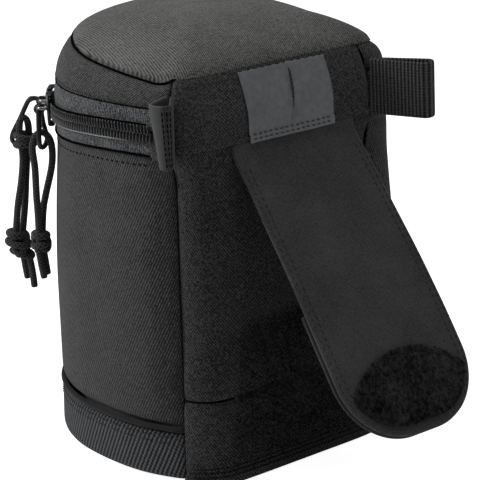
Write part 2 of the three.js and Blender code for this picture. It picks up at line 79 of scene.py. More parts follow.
# Floor plan: a round front, slightly curved sides, round corners and a flat back
SIDE_X = FRONT_R - SIDE_R
CORNER_Y = BACK_Y - CORNER_R
CORNER_X = SIDE_X + sqrt((SIDE_R - CORNER_R) ** 2 - CORNER_Y**2)
SIDE_TURN = asin(CORNER_Y / (SIDE_R - CORNER_R))
SIDE_START = FRONT_R * pi / 2
CORNER_START = SIDE_START + SIDE_R * SIDE_TURN
BACK_START = CORNER_START + CORNER_R * (pi / 2 - SIDE_TURN)
HALF_ROUND = BACK_START + CORNER_X
HINGE_Y = BACK_Y - LID_INSET
ZIP_END = SIDE_START + SIDE_R * asin((HINGE_Y - EAR_R - 0.0004) / (SIDE_R - LID_INSET))

# Seams at the back: at the corner on the left, further round on the right, where the wall wraps the corner
SEAM_LEFT = CORNER_START + CORNER_R * (radians(30) - SIDE_TURN)
BACK_LEFT = HALF_ROUND - SEAM_LEFT
BACK_RIGHT = 0.0392
SEAM_RIGHT = HALF_ROUND - BACK_RIGHT
WALL_ENDS = (-SEAM_RIGHT, SEAM_LEFT)
BACK_ENDS = (-BACK_LEFT, BACK_RIGHT)


def plan(s):
    """Point and outward normal of the floor plan, s metres round from the middle of the front."""
    side = copysign(1, s)
    d = abs(s)
    if d <= SIDE_START:
        x, y, radius, turn = 0, 0, FRONT_R, d / FRONT_R - pi / 2
    elif d <= CORNER_START:
        x, y, radius, turn = SIDE_X, 0, SIDE_R, (d - SIDE_START) / SIDE_R
    elif d <= BACK_START:
        x, y, radius, turn = CORNER_X, CORNER_Y, CORNER_R, SIDE_TURN + (d - CORNER_START) / CORNER_R
    else:
        x, y, radius, turn = HALF_ROUND - d, CORNER_Y, CORNER_R, pi / 2
    normal = Vector((cos(turn), sin(turn)))
    point = Vector((x, y)) + normal * radius
    return Vector((side * point.x, point.y)), Vector((side * normal.x, normal.y))


def stuffed(s):
    """How far the padding pushes the wrapped corner out."""
    return 0.0029 * bump(s + 0.1485, 0.011)


def on_plan(s, inset, z):
    point, normal = plan(s)
    inset -= stuffed(s)
    return Vector((point.x - normal.x * inset, point.y - normal.y * inset, z))


def rise(s):
    """How far the zip climbs towards the back."""
    return 0.0024 * smooth((plan(s)[0].y + 0.035) / 0.07)


def lid_lean(z):
    """How far the lid's side leans in at a height."""
    return LID_LEAN * max((z - 0.132) / (LID_SEAM - 0.132), 0) ** 1.5


def back_share(s):
    """0 round the front and sides, 1 across the back."""
    return smooth((plan(s)[0].y - 0.036) / 0.014)


def lid_seam(s):
    """Height of the seam round the lid's top: it climbs to the front and dips at the back corners."""
    side = 0.1507 - 0.096 * plan(s)[0].y - 0.0016 * bump(abs(s) - 0.1455, 0.007)
    return side + (0.1487 - side) * back_share(s)


def wall_margin(s):
    return min(SEAM_LEFT - s, s + SEAM_RIGHT)


def back_margin(u):
    return min(u + BACK_LEFT, BACK_RIGHT - u)


def back_s(u):
    """Plan distance of a point of the back, u metres from its middle towards -X."""
    return copysign(HALF_ROUND - abs(u), -u)


def bump(distance, width):
    """1 in the middle, falling softly to 0 a few widths away."""
    return exp(-((distance / width) ** 2))


def fold(distance, width):
    """1 at an edge and past it, falling softly to 0 a few widths inside it."""
    return bump(max(distance, 0), width)


def ripple(a, b, size, seed):
    return noise.noise(Vector((a / size, b / size, seed)))


def smooth(t):
    t = min(max(t, 0), 1)
    return t * t * (3 - 2 * t)


# Materials
class Value:
    """A shader socket with arithmetic: each operator adds a Math node."""

    def __init__(self, finish, socket):
        self.finish = finish
        self.socket = socket

    def math(self, operation, *others):
        inputs = dict(enumerate((self, *others)))
        return self.finish.node("ShaderNodeMath", {"operation": operation}, inputs)

    def __add__(self, other):
        return self.math("ADD", other)

    def __sub__(self, other):
        return self.math("SUBTRACT", other)

    def __mul__(self, other):
        return self.math("MULTIPLY", other)

    __radd__ = __add__
    __rmul__ = __mul__

    def wave(self):
        """A sine, from 0 to 1."""
        return self.math("SINE") * 0.5 + 0.5

    def between(self, low, high):
        """0 below low, 1 above high, and soft in between."""
        settings = {"interpolation_type": "SMOOTHSTEP"}
        return self.finish.node("ShaderNodeMapRange", settings, {0: self, 1: low, 2: high, 3: 0.0, 4: 1.0})


class Finish:
    """One procedural material on a Principled shader."""

    def __init__(self, name, **fixed):
        self.material = bpy.data.materials.new(name)
        self.material.use_nodes = True
        self.tree = self.material.node_tree
        self.shader = self.tree.nodes["Principled BSDF"]
        for socket, value in fixed.items():
            self.shader.inputs[socket.replace("_", " ")].default_value = value

    def node(self, kind, settings=None, inputs=None, out=0):
        made = self.tree.nodes.new(kind)
        for key, value in (settings or {}).items():
            setattr(made, key, value)
        for key, value in (inputs or {}).items():
            if isinstance(value, Value):
                self.tree.links.new(value.socket, made.inputs[key])
            else:
                made.inputs[key].default_value = value
        return Value(self, made.outputs[out])

    def feed(self, socket, value):
        self.tree.links.new(value.socket, self.shader.inputs[socket])

    def cut(self):
        """The two directions of the cloth's flat cut, in millimetres."""
        spot = self.node("ShaderNodeUVMap", {"uv_map": "cut"})
        split = {"Vector": spot}
        u = self.node("ShaderNodeSeparateXYZ", inputs=split, out=0)
        v = self.node("ShaderNodeSeparateXYZ", inputs=split, out=1)
        return u * 1000, v * 1000

    def cloud(self, scale, detail=3.0, rough=0.6):
        """Noise in the object's own space. Scale is in repeats a metre."""
        spot = self.node("ShaderNodeTexCoord", out=3)
        inputs = {"Vector": spot, "Scale": scale, "Detail": detail, "Roughness": rough}
        return self.node("ShaderNodeTexNoise", {"noise_dimensions": "3D"}, inputs)

    def mix(self, factor, first, second):
        return self.node("ShaderNodeMix", {"data_type": "RGBA"}, {0: factor, 6: first, 7: second}, out=2)

    def colour(self, factor, first, second):
        self.feed("Base Color", self.mix(factor, first, second))

    def relief(self, height, depth):
        """Bump from a height of 0 to 1, depth in metres."""
        inputs = {"Height": height, "Distance": depth, "Strength": 1.0}
        self.feed("Normal", self.node("ShaderNodeBump", inputs=inputs))


def grey(level, tint=(1, 1, 1)):
    return (level * tint[0], level * tint[1], level * tint[2], 1)


def woven(name, level, pitch, lean, depth, contrast, fleck, spread=0.4, tint=(1, 1, 1), edge=None):
    """Cloth with slanting ribs: pitch in millimetres, lean in degrees. edge paints shade or light along one
    side of the cut: from, to, by.
    """
    finish = Finish(name, Specular_IOR_Level=0.25, Sheen_Weight=0.12, Sheen_Roughness=0.5)
    u, v = finish.cut()
    turn = radians(lean)
    step = 2 * pi / pitch
    rib = (u * (cos(turn) * step) - v * (sin(turn) * step)).wave()
    yarn = (u * (sin(turn) * step * 1.3) + v * (cos(turn) * step * 1.3)).wave()
    threads = rib * 0.7 + yarn * 0.3
    wear_and_painted_fade = finish.cloud(55, 4)
    fuzz = finish.cloud(1300, 3, 0.7)
    shade = threads * contrast + fuzz * fleck + wear_and_painted_fade * 0.4
    # Painted shade or light along the cut's first direction
    if edge:
        shade = shade + u.between(edge[0], edge[1]) * edge[2]
    low = 0.5 * contrast + 0.5 * fleck + 0.2
    finish.colour(shade.between(low - spread, low + spread), grey(level * 0.15, tint), grey(level * 2, tint))
    finish.feed("Roughness", 0.86 + 0.1 * wear_and_painted_fade - 0.05 * threads)
    finish.relief(threads * 0.8 + fuzz * 0.4, depth)
    return finish


def plain_cloth(name, level, depth, tint=(1, 1, 1), grain=1500):
    """Smooth close cloth with a fine grain."""
    finish = Finish(name, Specular_IOR_Level=0.3, Sheen_Weight=0.15, Sheen_Roughness=0.4)
    u, v = finish.cut()
    step = 2 * pi / 0.62
    weave = (u * step).wave() * (v * step).wave()
    wear_and_painted_fade = finish.cloud(40, 4)
    fine = finish.cloud(grain, 2)
    shade = weave * 0.3 + fine * 0.5 + wear_and_painted_fade * 0.4
    finish.colour(shade.between(0.3, 0.75), grey(level * 0.35, tint), grey(level * 1.65, tint))
    finish.feed("Roughness", 0.8 + 0.12 * wear_and_painted_fade - 0.06 * weave)
    finish.relief(weave * 0.6 + fine * 0.5, depth)
    return finish


def speckled(name, low, high, scale, depth, rough, tint=(1, 1, 1), **fixed):
    """Finish with no weave: two levels of one colour, broken up by noise in the object's space."""
    finish = Finish(name, **fixed)
    fine = finish.cloud(scale, 4)
    broad = finish.cloud(scale * 0.08, 3)
    finish.colour((fine * 0.6 + broad * 0.4).between(0.3, 0.7), grey(low, tint), grey(high, tint))
    finish.feed("Roughness", rough - 0.1 + 0.2 * fine)
    finish.relief(fine, depth)
    return finish


def corded(name, level, ribs_u, ribs_v, depth, ribbed, edge=None):
    """Webbing: ribs across and along, each pitch in millimetres. edge paints light or shade along one side of
    the cut: from, to, by.
    """
    finish = Finish(name, Specular_IOR_Level=0.3, Sheen_Weight=0.1)
    u, v = finish.cut()
    across = (u * (2 * pi / ribs_u)).wave()
    along = (v * (2 * pi / ribs_v)).wave()
    weave = (across * 0.7 + along * 0.3 - 0.5) * ribbed + 0.5
    fuzz = finish.cloud(1000, 2)
    shade = weave + fuzz + (u.between(edge[0], edge[1]) * edge[2] if edge else 0.0)
    finish.colour(shade.between(0.55, 1.45), grey(level * 0.1), grey(level * 2.4))
    finish.feed("Roughness", 0.8 + 0.1 * fuzz)
    finish.relief(weave + fuzz * 0.25, depth)
    return finish


def braided(name, level):
    """Braid on a cord: its cut runs round the cord in turns and along it in millimetres."""
    finish = Finish(name, Specular_IOR_Level=0.3, Sheen_Weight=0.15)
    u, v = finish.cut()
    around = u * 0.001 * (2 * pi)
    left = (around * 5 + v * 4.6).wave()
    right = (around * 5 - v * 4.6).wave()
    strands = left.math("MAXIMUM", right)
    fuzz = finish.cloud(2200, 2)
    finish.colour((strands + fuzz * 0.6).between(0.75, 1.45), grey(level * 0.25), grey(level * 6))
    finish.feed("Roughness", 0.7 + 0.2 * fuzz)
    finish.relief(strands + fuzz * 0.2, 0.0003)
    return finish


def painted_highlight_finish(name, highlight_colour, unlit_colour, low, high):
    """A glossy cord with a painted highlight: its colour is bright towards the front and nearly black towards
    the back.
    """
    finish = Finish(name, Specular_IOR_Level=0.7)
    # The painted highlight fades out along the object's Y, towards the back
    spot = finish.node("ShaderNodeTexCoord", out=3)
    wear_and_painted_fade = finish.node("ShaderNodeSeparateXYZ", inputs={"Vector": spot}, out=1).between(low, high)
    fine = finish.cloud(900, 2)
    finish.colour(wear_and_painted_fade + fine * 0.2 - 0.1, grey(highlight_colour), grey(unlit_colour))
    finish.feed("Roughness", 0.2 + 0.6 * wear_and_painted_fade)
    finish.relief(fine, 0.00002)
    return finish


# Finishes
# Painted shade: the wall's twill is painted darker over the last 17 to 6 mm before its left seam
WALL_PAINTED_SHADE = (SEAM_LEFT * 1000 - 17, SEAM_LEFT * 1000 - 6, -0.23)
# Painted highlight: the back's weave keeps a light strip within 7 mm of its left seam and is painted darker
# from 17 mm on
BACK_PAINTED_HIGHLIGHT = (7 - BACK_LEFT * 1000, 17 - BACK_LEFT * 1000, -0.11)
# The wall's twill, with painted shade towards its left seam
twill = woven("twill", 0.05, 1.05, 27, 0.0002, 0.75, 1.8, 0.36, edge=WALL_PAINTED_SHADE)
lid_twill = woven("lid twill", 0.104, 0.8, 12, 0.0002, 0.6, 1.4, tint=(1, 1, 0.97))
rim_twill = woven("rim twill", 0.048, 0.95, 45, 0.00025, 0.8, 2.6, 0.28)
foot_weave = woven("coarse foot weave", 0.055, 1.7, 24, 0.0006, 1.7, 1.7, 0.3, (0.95, 1, 1.1))
# A copy of the back weave that carries this painted highlight along the left seam
back_weave_painted_highlight = woven("back weave with painted highlight", 0.037, 0.95, -38, 0.0002, 0.7, 2.8, 0.26, edge=BACK_PAINTED_HIGHLIGHT)
back_weave = woven("back weave", 0.036, 0.95, -38, 0.0002, 0.7, 3, 0.24)
tape_weave = woven("zip tape", 0.084, 0.9, 4, 0.0002, 0.6, 2.8, 0.3, (0.94, 1, 1.07))
flap_cloth = plain_cloth("flap cloth", 0.053, 0.00008)
lining_cloth = plain_cloth("brushed lining", 0.14, 0.00008, tint=(0.98, 1, 1.03), grain=900)
piping_cloth = plain_cloth("piping", 0.012, 0.00006)
pile = speckled("loop pile", 0.0008, 0.056, 600, 0.0005, 0.95, Specular_IOR_Level=0.1)
hook = speckled("hook tape", 0.004, 0.014, 1400, 0.0003, 0.8)
tag_cloth = speckled("label", 0.14, 0.21, 500, 0.00006, 0.42, (0.96, 1, 1.04))
webbing = corded("webbing", 0.037, 1.45, 1.1, 0.0006, 1.4)
# Painted highlight: the webbing is painted lighter from 8 to 9.5 mm along its cut onwards
fine_webbing_painted_highlight = corded("fine webbing with painted highlight", 0.033, 0.8, 0.7, 0.0001, 0.3, edge=(8, 9.5, 0.5))
shadow = speckled("seam shadow", 0.0004, 0.002, 1500, 0.00005, 0.95, Specular_IOR_Level=0.03)
dark_thread = speckled("dark thread", 0.006, 0.014, 2500, 0.00005, 0.6)
flap_thread = speckled("flap thread", 0.012, 0.04, 2500, 0.00005, 0.6)
nylon = speckled("nylon coil", 0.03, 0.07, 700, 0.00002, 0.22, Specular_IOR_Level=1.0)
# Painted highlight along the coil's lower edge, bright at the front and gone towards the back
highlight_filament = painted_highlight_finish("highlight_filament", 0.22, 0.004, 0.012, 0.034)
nickel = speckled("nickel", 0.2, 0.36, 350, 0.00002, 0.28, Metallic=1.0)
enamel = speckled("black enamel", 0.008, 0.014, 600, 0.00002, 0.35, Specular_IOR_Level=0.55)
braid = braided("braid", 0.011)


# Mesh helpers
def cut_cloth(cells, across, along, place, cut=None):
    """A flat cut of cloth, moved point by point into place. Its UV map keeps the flat cut, in metres."""
    bm = bmesh.new()
    bmesh.ops.create_grid(bm, x_segments=cells[0], y_segments=cells[1], size=0.5)
    layer = bm.loops.layers.uv.new("cut")
    spot = {}
    for vert in bm.verts:
        u = across[0] + (across[1] - across[0]) * (vert.co.x + 0.5)
        v = along[0] + (along[1] - along[0]) * (vert.co.y + 0.5)
        spot[vert] = (u, v)
    for face in bm.faces:
        for loop in face.loops:
            u, v = spot[loop.vert]
            loop[layer].uv = cut(u, v) if cut else (u, v)
    for vert, (u, v) in spot.items():
        vert.co = place(u, v)
    return bm


def placed(name, data):
    """A new object in the scene."""
    obj = bpy.data.objects.new(name, data)
    scene.collection.objects.link(obj)
    return obj


def deep(height):
    """The flat cut of a strip whose second direction goes from 0 to 1."""
    return lambda u, t: (u, t * height)


def piece(bm, name, finish, slot, body=None, stands_for=(), thick=0.0, offset=-1.0, level=1):
    """Turns a bmesh into a finished piece of the pouch."""
    for face in bm.faces:
        face.smooth = True
    mesh = bpy.data.meshes.new(name)
    bm.to_mesh(mesh)
    bm.free()
    mesh.materials.append(finish.material)
    obj = placed(name, mesh)
    if thick:
        solid = obj.modifiers.new("thickness", "SOLIDIFY")
        solid.thickness = thick
        solid.offset = offset
    if level:
        rounded = obj.modifiers.new("rounding", "SUBSURF")
        rounded.levels = rounded.render_levels = level
    if stands_for:
        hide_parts(*stands_for)
    if body:
        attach(obj, body)
    return obj


def panel(name, finish, slot, body, stands_for, cells, across, along, place, cut=None, thick=CLOTH):
    """A piece of cloth of one thickness."""
    return piece(cut_cloth(cells, across, along, place, cut), name, finish, slot, body, stands_for, thick)


def settled(obj):
    """The piece with its modifiers made part of its mesh."""
    seen = obj.evaluated_get(bpy.context.evaluated_depsgraph_get())
    mesh = bpy.data.meshes.new_from_object(seen)
    obj.modifiers.clear()
    old = obj.data
    obj.data = mesh
    bpy.data.meshes.remove(old)
    return obj


def pour(whole, part):
    """Adds one mesh to another."""
    mesh = bpy.data.meshes.new("part")
    part.to_mesh(mesh)
    part.free()
    whole.from_mesh(mesh)
    bpy.data.meshes.remove(mesh)


def joined(whole, *parts):
    """Several meshes in one."""
    for part in parts:
        pour(whole, part)
    return whole


def repeated(make, places, batch=100):
    """Many small copies of one shape, made a few at a time."""
    whole = bmesh.new()
    for start in range(0, len(places), batch):
        few = bmesh.new()
        for place in places[start : start + batch]:
            make(few, place)
        pour(whole, few)
    return whole


def thickened(bm, thickness):
    bmesh.ops.solidify(bm, geom=bm.faces[:], thickness=thickness)
    return bm


def turned_in(bm):
    """Closes a round of cloth and turns it to face inwards."""
    bmesh.ops.remove_doubles(bm, verts=bm.verts, dist=0.00002)
    bmesh.ops.reverse_faces(bm, faces=bm.faces)
    return bm


def facing(bm, way):
    """Turns an open sheet to face a direction."""
    bm.normal_update()
    if sum(face.normal.dot(way) * face.calc_area() for face in bm.faces) < 0:
        bmesh.ops.reverse_faces(bm, faces=bm.faces)
    return bm


def standing(point, along, out):
    """A matrix at a point, with X along a direction and Z outwards."""
    z = out.normalized()
    y = z.cross(along).normalized()
    x = y.cross(z)
    turn = Matrix((x, y, z)).transposed().to_4x4()
    return Matrix.Translation(point) @ turn


def run_along(points):
    """How far along a line each of its points is."""
    run = [0.0]
    for a, b in zip(points, points[1:]):
        run.append(run[-1] + (b - a).length)
    return run


def stops(points, run, places):
    """Points of a line at given distances along it, each with the number of its stretch."""
    index = 0
    for at in places:
        while index < len(run) - 2 and run[index + 1] < at:
            index += 1
        share = (at - run[index]) / max(run[index + 1] - run[index], 1e-9)
        yield index, points[index].lerp(points[index + 1], share)


def beads(places, around, along):
    """Small rounded copies of a ball."""

    def bead(bm, place):
        bmesh.ops.create_uvsphere(bm, u_segments=around, v_segments=along, radius=1, matrix=place)

    return repeated(bead, places)


def stitch_row(name, body, face, start, end, finish, pitch, length, width=0.0006):
    """A row of stitches. face(t) gives a point and an outward normal for t from start to end."""
    steps = max(int(abs(end - start) * 4000), 8)
    points, normals = zip(*(face(start + (end - start) * i / steps) for i in range(steps + 1)))
    run = run_along(points)
    size = Matrix.Diagonal((length / 2, width / 2, width / 2, 1))
    middles = [pitch * (i + 0.5) for i in range(ceil(run[-1] / pitch - 0.75))]
    places = []
    for index, point in stops(points, run, middles):
        places.append(standing(point, points[index + 1] - points[index], normals[index]) @ size)
    return piece(beads(places, 6, 4), name, finish, "piping", body, level=0)


def route(points, count):
    """Evenly spaced points of a smooth curve through the given points."""
    line = []
    ends = [2 * points[0] - points[1], *points, 2 * points[-1] - points[-2]]
    for i in range(1, len(ends) - 2):
        a, b, c, d = ends[i - 1 : i + 3]
        for k in range(16):
            t = k / 16
            square = (2 * a - 5 * b + 4 * c - d) * t**2
            line.append(0.5 * (2 * b + (c - a) * t + square + (3 * b - a - 3 * c + d) * t**3))
    line.append(points[-1])
    run = run_along(line)
    places = [run[-1] * i / count for i in range(count + 1)]
    return [point for _, point in stops(line, run, places)], run[-1]


def cord_mesh(points, radius, count, sides=12):
    """A round cord along a smooth route, with closed ends."""
    line, length = route(points, count)
    frames = []
    side = None
    for i, point in enumerate(line):
        ahead = (line[min(i + 1, count)] - line[max(i - 1, 0)]).normalized()
        side = ahead.orthogonal() if side is None else side - ahead * side.dot(ahead)
        side.normalize()
        frames.append((point, side.copy(), ahead.cross(side)))

    def place(turn, row):
        point, x, y = frames[round(row)]
        angle = turn * 2 * pi
        return point + (x * cos(angle) + y * sin(angle)) * radius

    bm = cut_cloth((sides, count), (0, 1), (0, count), place, deep(length / count))
    bmesh.ops.remove_doubles(bm, verts=bm.verts, dist=radius * 0.05)
    bmesh.ops.holes_fill(bm, edges=bm.edges, sides=sides + 1)
    bmesh.ops.recalc_face_normals(bm, faces=bm.faces)
    return bm, line, length


# Camera
AZIMUTH = radians(144.3)
ELEVATION = radians(16.7)
ROLL = radians(3.1)
DISTANCE = 0.742
away = Matrix.Rotation(AZIMUTH, 3, "Z") @ Vector((0, -cos(ELEVATION), sin(ELEVATION)))
level_right = Vector((cos(AZIMUTH), sin(AZIMUTH), 0))
level_up = away.cross(level_right)
right = level_right * cos(ROLL) - level_up * sin(ROLL)
up = level_up * cos(ROLL) + level_right * sin(ROLL)
MIDDLE = Vector((0, 0, 0.0848))
eye = MIDDLE + away * DISTANCE
aim = MIDDLE + right * 0.0119 - up * 0.01352
back = (eye - aim).normalized()
side = up.cross(back).normalized()
camera = placed("camera", bpy.data.cameras.new("camera"))
camera.matrix_world = Matrix.Translation(eye) @ Matrix((side, back.cross(side), back)).transposed().to_4x4()
camera.data.lens = 144.5
camera.data.sensor_width = 36
camera.data.clip_start = 0.01
scene.camera = camera

# Pull cords and knots, in millimetres: out, along the zip, up from the coil. The cords lie near their solids,
# with points moved to follow the hitch, the loop and the knots that the photograph shows
FRONT_ANGLE = -41.5
SIDE_ANGLE = -30
FRONT_CORD = (
    (74.4, -1.4, -56.4), (71.9, -1.5, -41), (70.7, -1.5, -31), (69.4, -1.5, -21), (68.0, -1.3, -12),
    (68.2, -0.6, -7), (69.4, 0, -5.4), (70.7, 0.6, -7.2),
    (71.2, 1.3, -12), (70.6, 1.5, -21), (72.0, 1.5, -31), (74.2, 1.5, -41), (76.5, 1.4, -56.4),
)
SIDE_CORD = (
    (65.9, 1.3, -52.2), (65.6, 1.4, -40), (65.6, 1.4, -33.3), (65.3, 1.2, -22), (65.7, 0.8, -15),
    (64.6, 0.5, -10.6), (62.0, 0, -8.6), (59.4, -0.5, -10.6),
    (58.3, -0.8, -15), (58.9, -1.2, -22.5), (62.0, -1.4, -33.5), (63.5, -1.4, -40), (64.9, -1.3, -52.2),
)
FRONT_TAILS = (
    ((74.3, -1.5, -60), (73.8, -1.8, -67), (73.3, -2, -71.6)),
    ((71.5, 1.4, -60), (70.6, 1.5, -67), (70.2, 1.6, -74.2)),
)
SIDE_TAILS = (
    ((64.6, -0.7, -55), (64.1, -1.1, -61), (63.7, -1.3, -65.6)),
    ((66.4, 0.9, -55), (65.8, 1.3, -61), (65.1, 1.5, -66.2)),
)
CORD_R = 0.0014


def by_coil(angle, points):
    turn = Matrix.Rotation(radians(angle), 3, "Z")
    return [turn @ (Vector(p) * 0.001) + Vector((0, 0, COIL_Z)) for p in points]


def overhand(centre, size, spin):
    """Closed overhand knot round a centre: the cord crosses itself three times."""
    points = []
    for i in range(49):
        t = 2 * pi * (0.03 + 0.94 * i / 48)
        reach = size[0] + size[1] * cos(3 * t)
        x = centre[0] + reach * cos(2 * t + spin)
        y = centre[1] + reach * sin(2 * t + spin)
        points.append((x, y, centre[2] + size[2] * sin(3 * t)))
    return points


def rod(angle, points, radius, count, sides=12):
    return cord_mesh(by_coil(angle, points), radius, count, sides)[0]


def round_loop(angle, points, radius, count):
    """A closed ring of round rod or cord."""
    return rod(angle, (*points, *points[:2]), radius, count)


def cord_turns(angle, rings):
    """Turns of cord round both strands: the middle, size and tilt of each."""
    turns = []
    for middle, size, tilt in rings:
        points = []
        for i in range(8):
            x, y = cos(i * pi / 4), sin(i * pi / 4)
            points.append((middle[0] + size[0] * x, middle[1] + size[1] * y, middle[2] + tilt * x))
        turns.append(round_loop(angle, points, CORD_R, 30))
    return turns


def pull_cord(place, angle, cord_route, hitch, knot_points, tails, turns):
    body = f"zip_pull_{place}"
    tube, line, length = cord_mesh(by_coil(angle, cord_route), CORD_R, 60)
    cord = piece(tube, f"braided_cord_{place}", braid, "cord", body, [f"pull_cord_{place}"])
    ends = [rod(angle, tail, CORD_R, 12) for tail in tails]
    knot = joined(rod(angle, knot_points, CORD_R, 90), *ends, *cord_turns(angle, turns))
    on_cord = [piece(knot, f"cord_knot_{place}", braid, "cord", body, [f"pull_knot_{place}"])]
    if hitch:
        wraps = joined(*cord_turns(angle, hitch))
        on_cord.append(piece(wraps, f"cord_hitch_{place}", braid, "cord", body))
    tuple(line[0])
    [tuple(p) for p in line]


FRONT_HITCH = (((69.5, 0, -13.4), (3.3, 3.4), 0.9), ((69.7, 0, -15.9), (3.5, 3.5), -0.5))
FRONT_TURNS = (
    ((76.0, 0, -52.3), (2.9, 3.1), 0.5),
    ((75.3, 0, -56.0), (4.3, 3.9), 0.9),
    ((73.8, 0, -60.2), (3.3, 3.2), 1.3),
)
FRONT_KNOT = overhand((75.0, 0, -56.4), (2.3, 1.2, 4.0), 0.4)
SIDE_TURNS = (((65.2, 0, -48.9), (2.5, 2.6), 0.4), ((65.3, 0, -52.6), (2.8, 2.7), -0.6))
SIDE_KNOT = overhand((65.2, 0, -51.6), (1.75, 1.0, 3.3), 1.5)
pull_cord("front", FRONT_ANGLE, FRONT_CORD, FRONT_HITCH, FRONT_KNOT, FRONT_TAILS, FRONT_TURNS)
pull_cord("side", SIDE_ANGLE, SIDE_CORD, (), SIDE_KNOT, SIDE_TAILS, SIDE_TURNS)

# Pull rings and sliders
FRONT_RING = (
    (64.4, 0, 1.5), (66.8, 0, 0.7), (70.5, 0, -6), (74.3, 0, -13), (73.6, 0, -16),
    (69.8, 0, -17.3), (65.9, 0, -16.6), (64.4, 0, -14.6), (63.2, 0, -7.5), (62.9, 0, -0.2),
)
SIDE_RING = (
    (61.8, 0, 1.5), (62.2, 1.6, 0.7), (62.7, 3.6, -6), (62.9, 5.0, -11.5), (62.4, 3.6, -13.6),
    (61.2, 0, -14.4), (60.1, -3.6, -13.6), (59.8, -5.0, -11.5), (60.8, -3.6, -6), (61.4, -1.6, 0.7),
)
BRIDGE = (
    (59.0, -3.2, 0.9), (61.2, -3.0, 1.0), (62.4, -1.6, 1.0), (62.6, 0, 1.0),
    (62.4, 1.6, 1.0), (61.2, 3.0, 1.0), (59.0, 3.2, 0.9),
)
EYE_R = 1.5
RING_ROD = 0.00095
EYE_ROD = 0.0007
BRIDGE_ROD = 0.00075


def slider(place, angle, ring):
    """A dark slider over the coil, with a bright bridge that carries the pull's eye."""
    eye = []
    for i in range(8):
        eye.append((61.9 + EYE_R * sin(i * pi / 4), 0, 0.2 + EYE_R * cos(i * pi / 4)))
    rings = joined(round_loop(angle, ring, RING_ROD, 64), round_loop(angle, eye, EYE_ROD, 24))
    piece(rings, f"pull_ring_{place}", enamel, "pull_metal", f"zip_pull_{place}", [f"pull_{place}"], level=0)
    turn = Matrix.Translation((0, 0, COIL_Z)) @ Matrix.Rotation(radians(angle), 4, "Z")
    plate = bmesh.new()
    for spot, size in (
        ((0.0585, 0, 0), (0.0012, 0.0084, 0.0116, 1)),
        ((0.0578, 0, -0.0056), (0.0026, 0.0066, 0.0009, 1)),
        ((0.0578, 0, 0.0056), (0.0026, 0.0066, 0.0009, 1)),
    ):
        bmesh.ops.create_cube(plate, size=1, matrix=turn @ Matrix.Translation(spot) @ Matrix.Diagonal(size))
    bmesh.ops.bevel(plate, geom=plate.edges[:], offset=0.00035, segments=2, affect="EDGES")
    body = f"zip_slider_{place}"
    piece(plate, f"slider_plate_{place}", enamel, "slider_metal", body, [f"slider_{place}"], level=0)
    bridge = rod(angle, BRIDGE, BRIDGE_ROD, 24, 8)
    piece(bridge, f"slider_bridge_{place}", nickel, "slider_metal", body, level=0)


slider("front", FRONT_ANGLE, FRONT_RING)
slider("side", SIDE_ANGLE, SIDE_RING)


# Cup
def pinch(margin, reach=0.0115):
    """How far a seam draws padded cloth in."""
    return 0.0011 * fold(margin, 0.0026) + 0.0034 * fold(margin, reach)


def wall_pinch(s):
    return pinch(wall_margin(s), 0.014)


def back_pinch(u):
    return pinch(back_margin(u), 0.0145 if u < 0 else 0.0115)


def wall_at(s, z):
    share = (z - WALL_LOW) / (WALL_TOP - WALL_LOW)
    held = (0.8 + 0.2 * smooth((z - WALL_LOW) / 0.02)) * (1 - 0.7 * smooth((z - 0.104) / 0.014))
    edge = held * wall_pinch(s) + 0.0011 * fold(z - WALL_LOW, 0.0016)
    swell = 0.0009 * sin(pi * share)
    crease = 0.0007 * ripple(s, z, 0.045, 1.3)
    return on_plan(s, TAPER * z + edge - swell - crease, z + rise(s) * share**2)


wall = panel(
    "outer_wall", twill, "twill", "cup", ["wall_panel"], (156, 40), WALL_ENDS, (WALL_LOW, WALL_TOP), wall_at
)


def round_out(s):
    return plan(s)[1].to_3d()


stitch_row(
    "wall_stitches", "cup", lambda s: (wall_at(s, WALL_TOP - 0.0036), round_out(s)), -ZIP_END, ZIP_END,
    shadow, 0.0027, 0.0017, 0.00055,
)

FOOT_R = 0.0026


def foot_at(s, v):
    """The foot band, which turns under the pouch at its lower edge."""
    edge = 0.0003 + 0.8 * wall_pinch(s)
    if v >= FOOT_R:
        tuck = 0.0008 * fold(0.0183 - v, 0.0014)
        return on_plan(s, TAPER * v + edge + tuck - 0.0003, v)
    turn = min((FOOT_R - v) / FOOT_R, pi / 2)
    under = FOOT_R - v - FOOT_R * turn
    return on_plan(s, edge + FOOT_R * (1 - cos(turn)) + under - 0.0003, FOOT_R * (1 - sin(turn)))


panel(
    "foot_band", foot_weave, "ribbed_cloth", "cup", ["base_band"],
    (156, 16), WALL_ENDS, (-0.0042, 0.0183), foot_at,
)
for name, height in (("upper", 0.0165), ("lower", 0.0143)):
    stitch_row(
        f"foot_stitches_{name}", "cup", lambda s, z=height: (foot_at(s, z), round_out(s)), *WALL_ENDS,
        dark_thread, 0.0024, 0.0017,
    )


def plan_tube(cells, ends, face, radius, tall=None, cut=None):
    """A closed round tube along the plan. face(s) gives its inset and height."""

    def place(s, t):
        inset, z = face(s)
        angle = 2 * pi * t
        return on_plan(s, inset + radius * cos(angle), z + (tall or radius) * sin(angle))

    bm = cut_cloth(cells, ends, (0, 1), place, cut)
    bmesh.ops.remove_doubles(bm, verts=bm.verts, dist=0.00005)
    bmesh.ops.holes_fill(bm, edges=bm.edges, sides=40)
    bmesh.ops.recalc_face_normals(bm, faces=bm.faces)
    return bm


def piping_spot(s):
    return TAPER * PIPING_Z + 0.0003 + 0.8 * wall_pinch(s), PIPING_Z


piece(
    plan_tube((156, 8), WALL_ENDS, piping_spot, 0.0011, cut=deep(0.007)),
    "foot_piping", piping_cloth, "piping", "cup", ["base_piping"],
)


